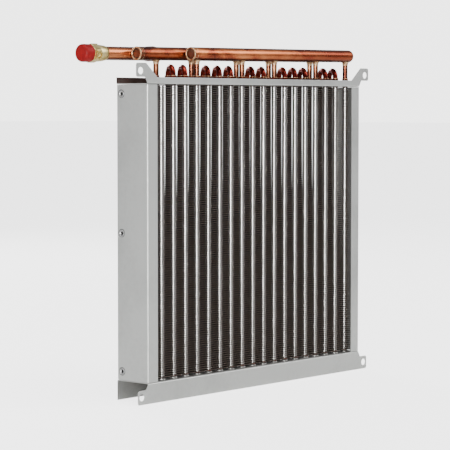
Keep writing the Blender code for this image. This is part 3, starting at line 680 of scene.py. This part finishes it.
# Headers: two lengths of copper pipe. Each is plugged at its left end with a brazed disc
# inside a rim, and spun shut in a round end at its right.
PIPE_SIDES = 48
DOME_STEPS = 9
HEADER_WALL = 1.1 * MM
DOME_LENGTH = 7.0 * MM
RINGS_APART = 6.0 * MM
END_BEADS = ((0.2 * MM, 1.15 * MM), (3.6 * MM, 0.30 * MM), (6.8 * MM, 0.40 * MM))


def pipe_to_right(x, y, z, radius, length):
    """A ring in the upright plane, drawn out along X into an open pipe."""
    bpy.ops.mesh.primitive_circle_add(vertices=PIPE_SIDES, radius=radius, location=(x, y, z),
                                      rotation=(0, math.pi / 2, 0))
    pipe = bpy.context.object
    bpy.ops.object.transform_apply(location=True, rotation=True)
    edit_all(pipe)
    count = max(1, round(length / RINGS_APART))
    for step in range(count):
        draw_out(length / count, 0, 0)
    return pipe


disc_finish = copper_finish("end_disc_copper",
                            ((0.34, (0.09, 0.042, 0.028)), (0.66, (0.21, 0.115, 0.078))),
                            (0.36, 0.55))
for side in ("front", "rear"):
    node = side + "_header"
    low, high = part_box(node)
    y = (low.y + high.y) / 2
    header = pipe_to_right(low.x, y, HEADER_LEVEL, HEADER_RADIUS, high.x - low.x - DOME_LENGTH)
    scale_before = 1.0
    advance_before = 0.0
    for step in range(1, DOME_STEPS + 1):
        angle = math.pi / 2 * step / DOME_STEPS
        advance = DOME_LENGTH * math.sin(angle)
        size = max(math.cos(angle), 0.04)
        draw_out(advance - advance_before, 0, 0)
        bpy.ops.transform.resize(value=(1, size / scale_before, size / scale_before))
        scale_before, advance_before = size, advance
    bpy.ops.mesh.edge_face_add()
    outwards()
    tube_wall(header, HEADER_WALL)
    finish = redder if side == "rear" else tinted
    dress(header, node + "_pipe", finish, [node], smooth=50)
    lean(header)

    plug_low, plug_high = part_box(node + "_plug")
    bpy.ops.mesh.primitive_cylinder_add(vertices=PIPE_SIDES, radius=HEADER_RADIUS - 0.8 * MM,
                                        depth=plug_high.x - plug_low.x,
                                        location=((plug_low.x + plug_high.x) / 2, y, HEADER_LEVEL),
                                        rotation=(0, math.pi / 2, 0))
    plug = bpy.context.object
    bpy.ops.object.transform_apply(location=True, rotation=True)
    pick_faces(plug, lambda normal: normal.x < -0.9)
    bpy.ops.mesh.inset(thickness=0.8 * MM)
    bpy.ops.mesh.inset(thickness=0.6 * MM, depth=-1.1 * MM)
    bpy.ops.mesh.inset(thickness=2.4 * MM, depth=0.35 * MM)
    bpy.ops.mesh.inset(thickness=1.6 * MM, depth=-0.2 * MM)
    bpy.ops.object.mode_set(mode="OBJECT")
    dress(plug, node + "_end_disc", disc_finish, [node + "_plug"], smooth=35)
    lean(plug)

    beads = []
    for offset, thick in END_BEADS:
        bpy.ops.mesh.primitive_torus_add(location=(low.x + offset, y, HEADER_LEVEL),
                                         rotation=(0, math.pi / 2, 0), major_segments=PIPE_SIDES,
                                         minor_segments=10, minor_radius=thick,
                                         major_radius=HEADER_RADIUS - thick * 0.75)
        beads.append(bpy.context.object)
    rim = dress(joined(beads), node + "_end_bead", filler, smooth=60)
    lean(rim)

# Supply pipe: a plain drawn pipe behind the rear header, not reddened at its free end,
# bent forward into the header beyond the casing's corner.
low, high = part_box("supply_pipe")
supply_radius = HEADER_RADIUS
supply_y = high.y - supply_radius
turn_radius = 13 * MM
join_x = high.x - supply_radius
drawn = copper_finish("drawn_copper",
                      ((0.30, (0.56, 0.165, 0.062)), (0.50, (0.72, 0.23, 0.090)),
                       (0.70, (0.84, 0.31, 0.135))), (0.24, 0.34), streak=(0.15, 1, 1),
                      shades=((LENGTHWISE, -0.215, -0.195, 0.55, COPPER_RED), *PIPE_EDGE_SHADE))
supply = pipe_to_right(low.x, supply_y, HEADER_LEVEL, supply_radius, join_x - turn_radius - low.x)
bpy.ops.mesh.spin(steps=12, angle=-math.pi / 2, axis=(0, 0, 1),
                  center=(join_x - turn_radius, supply_y - turn_radius, HEADER_LEVEL))
draw_out(0, low.y - supply_y + turn_radius, 0)
bpy.ops.mesh.select_all(action="SELECT")
bpy.ops.mesh.remove_doubles(threshold=1e-7)
bpy.ops.mesh.normals_make_consistent(inside=False)
tube_wall(supply, HEADER_WALL)
dress(supply, "supply_pipe_drawn", drawn, ["supply_pipe"], smooth=45)
lean(supply)

# Return pipe: a short plain pipe end that leaves the front header to the back,
# past the rear header's right end.
low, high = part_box("return_pipe")
bpy.ops.mesh.primitive_circle_add(vertices=PIPE_SIDES, radius=(high.x - low.x) / 2,
                                  location=((low.x + high.x) / 2, high.y, (low.z + high.z) / 2),
                                  rotation=(math.pi / 2, 0, 0))
back_pipe = bpy.context.object
bpy.ops.object.transform_apply(location=True, rotation=True)
edit_all(back_pipe)
draw_out(0, low.y - high.y, 0)
outwards()
tube_wall(back_pipe, HEADER_WALL)
dress(back_pipe, "return_pipe_end", tinted, ["return_pipe"], smooth=45)

# Supply union: a machined brass body with a socket for the pipe, a hexagon for the spanner
# and a vent boss in its front flat. The pipe is brazed in.
SUPPLY_TURN = Matrix.Rotation(math.radians(13), 4, "X")
HEX_LENGTH = 13 * MM
HEX_CORNER = 12.0 * MM / math.cos(math.pi / 6)
BODY_RADIUS = 11.8 * MM
BOSS_RADIUS = 5.8 * MM
BOSS_REACH = 14.8 * MM
SOCKET_PROFILE = ((5.0, 0.965), (4.0, 0.955), (3.4, 0.94), (1.6, 0.93))
cap_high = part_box("protective_cap")[1]
hex_left = cap_high.x + 0.3 * MM
hex_right = hex_left + HEX_LENGTH
boss_x = (hex_left + hex_right) / 2
brass, tree, shader = new_finish("brass", (0.66, 0.50, 0.20), 0.30, 0.95)
stain = pattern(tree, "ShaderNodeTexNoise", 45, detail=4)
tint(tree, shader, stain, (0.30, (0.52, 0.34, 0.11)), (0.50, (0.78, 0.60, 0.22)),
     (0.70, (0.92, 0.78, 0.38)))
tree.links.new(spread(tree, stain.outputs["Fac"], 0.20, 0.40), shader.inputs["Roughness"])


def turn_down(piece, extra=0.0):
    """Turn a piece about the supply pipe, so that the vent in its front flat looks down."""
    centre = Matrix.Translation((0, supply_y, HEADER_LEVEL))
    piece.data.transform(centre @ SUPPLY_TURN @ Matrix.Rotation(extra, 4, "X") @ centre.inverted())


bpy.ops.mesh.primitive_cylinder_add(vertices=6, radius=HEX_CORNER, depth=HEX_LENGTH,
                                    location=(boss_x, supply_y, HEADER_LEVEL),
                                    rotation=(0, math.pi / 2, 0))
hexagon = bpy.context.object
bpy.ops.object.transform_apply(location=True, rotation=True)
pick_faces(hexagon, lambda normal: abs(normal.x) > 0.9)
bpy.ops.mesh.inset(thickness=1.2 * MM, depth=0.0, use_individual=True)
bpy.ops.object.mode_set(mode="OBJECT")
turn_down(hexagon, math.pi / 6)
chamfer = hexagon.modifiers.new("chamfer", "BEVEL")
chamfer.width = 0.7 * MM
chamfer.segments = 2
apply_all(hexagon)
socket = pipe_to_right(hex_right - 1 * MM, supply_y, HEADER_LEVEL, BODY_RADIUS, 5 * MM)
for reach, size in SOCKET_PROFILE:
    draw_out(reach * MM, 0, 0)
    bpy.ops.transform.resize(value=(1, size, size))
outwards()
tube_wall(socket, 1.6 * MM)
apply_all(socket)
bpy.ops.mesh.primitive_cylinder_add(vertices=32, radius=BOSS_RADIUS, depth=BOSS_REACH,
                                    location=(boss_x, supply_y - BOSS_REACH / 2, HEADER_LEVEL),
                                    rotation=(math.pi / 2, 0, 0))
boss = bpy.context.object
bpy.ops.object.transform_apply(location=True, rotation=True)
pick_faces(boss, lambda normal: normal.y < -0.9)
bpy.ops.mesh.inset(thickness=1.3 * MM)
bpy.ops.mesh.inset(thickness=0.3 * MM, depth=-2.2 * MM)
bpy.ops.object.mode_set(mode="OBJECT")
turn_down(boss)
union = joined([hexagon, socket, boss])
dress(union, "union_body", brass, ["supply_union"], smooth=35)
lean(union)

# Vent screw: a small round brass screw sunk into the boss,
# with a recess in its face.
SCREW_RADIUS = 3.3 * MM
SCREW_LENGTH = 5.5 * MM
SCREW_SUNK = 3.6 * MM
bpy.ops.mesh.primitive_cylinder_add(vertices=24, radius=SCREW_RADIUS, depth=SCREW_LENGTH,
                                    location=(boss_x, supply_y - BOSS_REACH + SCREW_SUNK,
                                              HEADER_LEVEL),
                                    rotation=(math.pi / 2, 0, 0))
screw = bpy.context.object
bpy.ops.object.transform_apply(location=True, rotation=True)
pick_faces(screw, lambda normal: normal.y < -0.9)
bpy.ops.mesh.inset(thickness=0.9 * MM)
bpy.ops.mesh.inset(thickness=0.5 * MM, depth=-1.0 * MM)
bpy.ops.object.mode_set(mode="OBJECT")
turn_down(screw)
soften = screw.modifiers.new("soften", "BEVEL")
soften.width = 0.3 * MM
soften.segments = 2
dress(screw, "vent_screw_head", brass, ["vent_screw"], smooth=40)
lean(screw)

# Protective cap: a moulded red plastic cap pushed over the thread for transport,
# rounded at its closed end and hollow at the other.
low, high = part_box("protective_cap")
CAP_RADIUS = 12.5 * MM
red, tree, shader = new_finish("red_plastic", (0.55, 0.012, 0.016), 0.38, 0.0)
scuff = pattern(tree, "ShaderNodeTexNoise", 150, detail=5)
tint(tree, shader, scuff, (0.35, (0.24, 0.002, 0.003)), (0.65, (0.33, 0.005, 0.006)))
shader.inputs["Specular IOR Level"].default_value = 0.25
tree.links.new(spread(tree, scuff.outputs["Fac"], 0.42, 0.58), shader.inputs["Roughness"])
bpy.ops.mesh.primitive_cylinder_add(vertices=PIPE_SIDES, radius=CAP_RADIUS, depth=high.x - low.x,
                                    location=((low.x + high.x) / 2, supply_y, HEADER_LEVEL),
                                    rotation=(0, math.pi / 2, 0))
cap = bpy.context.object
bpy.ops.object.transform_apply(location=True, rotation=True)
pick_faces(cap, lambda normal: normal.x > 0.9)
bpy.ops.mesh.inset(thickness=1.8 * MM)
bpy.ops.mesh.inset(thickness=0.1 * MM, depth=-12 * MM)
bpy.ops.object.mode_set(mode="OBJECT")
mould = cap.modifiers.new("mould", "BEVEL")
mould.width = 3.4 * MM
mould.segments = 6
mould.limit_method = "WEIGHT"
weights = cap.data.attributes.new("bevel_weight_edge", "FLOAT", "EDGE")
for edge in cap.data.edges:
    ends = [cap.data.vertices[i].co for i in edge.vertices]
    if all(abs(end.x - low.x) < 1e-5 for end in ends):
        weights.data[edge.index].value = 1.0
dress(cap, "transport_cap", red, ["protective_cap"], smooth=40)
lean(cap)

# Studio: a pale floor and room that the camera sees brighter than they light the coil, five
# soft lights round and above it, and the camera where the photograph was taken from.
FLOOR_SIZE = 90
FLOOR_LIFT = 3.0
ROOM_LIGHT = 0.30
ROOM_SEEN = 3.7
bpy.ops.mesh.primitive_plane_add(size=FLOOR_SIZE, location=(0, 0, 0))
floor = bpy.context.object
floor.name = "floor"
pale, tree, shader = new_finish("pale_floor", (0.90, 0.90, 0.89), 0.6, 0.0)
floor.data.materials.append(pale)
lift = tree.nodes.new("ShaderNodeLightPath")
glow = tree.nodes.new("ShaderNodeMath")
glow.operation = "MULTIPLY"
glow.inputs[1].default_value = FLOOR_LIFT
tree.links.new(lift.outputs["Is Camera Ray"], glow.inputs[0])
shader.inputs["Emission Color"].default_value = (1, 1, 1, 1)
tree.links.new(glow.outputs["Value"], shader.inputs["Emission Strength"])
floor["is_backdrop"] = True

world = bpy.data.worlds.new("studio")
bpy.context.scene.world = world
world.use_nodes = True
room = world.node_tree
dim = room.nodes["Background"]
dim.inputs["Color"].default_value = (0.95, 0.96, 1.0, 1)
dim.inputs["Strength"].default_value = ROOM_LIGHT
sweep = room.nodes.new("ShaderNodeBackground")
sweep.inputs["Color"].default_value = (1.0, 1.0, 0.99, 1)
sweep.inputs["Strength"].default_value = ROOM_SEEN
seen = room.nodes.new("ShaderNodeLightPath")
either = room.nodes.new("ShaderNodeMixShader")
room.links.new(seen.outputs["Is Camera Ray"], either.inputs["Fac"])
room.links.new(dim.outputs["Background"], either.inputs[1])
room.links.new(sweep.outputs["Background"], either.inputs[2])
room.links.new(either.outputs["Shader"], room.nodes["World Output"].inputs["Surface"])


def soft_light(name, place, target, size, power):
    data = bpy.data.lights.new(name, "AREA")
    data.shape = "DISK"
    data.size = size
    data.energy = power
    light = bpy.data.objects.new(name, data)
    light.location = place
    light.rotation_euler = (Vector(target) - Vector(place)).to_track_quat("-Z", "Y").to_euler()
    bpy.context.scene.collection.objects.link(light)


soft_light("front", (-2.75, -2.05, 0.50), (0, 0, 0.25), 1.0, 85)
soft_light("right", (2.1, -1.9, 2.1), (0, 0, 0.3), 1.9, 42)
soft_light("back", (1.3, 2.9, 1.6), (0, 0, 0.25), 1.2, 50)
soft_light("left", (-2.6, 0.9, 1.1), (0, 0, 0.25), 1.2, 10)
soft_light("overhead", (-0.4, -0.6, 3.0), (0, 0, 0), 2.4, 45)

CAMERA_PLACE = (-2.1876, -1.8975, 0.4142)
CAMERA_AZIMUTH = 48.92
CAMERA_PITCH = -3.43
CAMERA_LENS = 155.44
camera_data = bpy.data.cameras.new("camera")
camera_data.lens = CAMERA_LENS
camera_data.sensor_width = 36
camera = bpy.data.objects.new("camera", camera_data)
camera.location = CAMERA_PLACE
camera.rotation_euler = (math.radians(90 + CAMERA_PITCH), 0, math.radians(-CAMERA_AZIMUTH))
bpy.context.scene.collection.objects.link(camera)
bpy.context.scene.camera = camera

bpy.context.view_layer.update()
low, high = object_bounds()
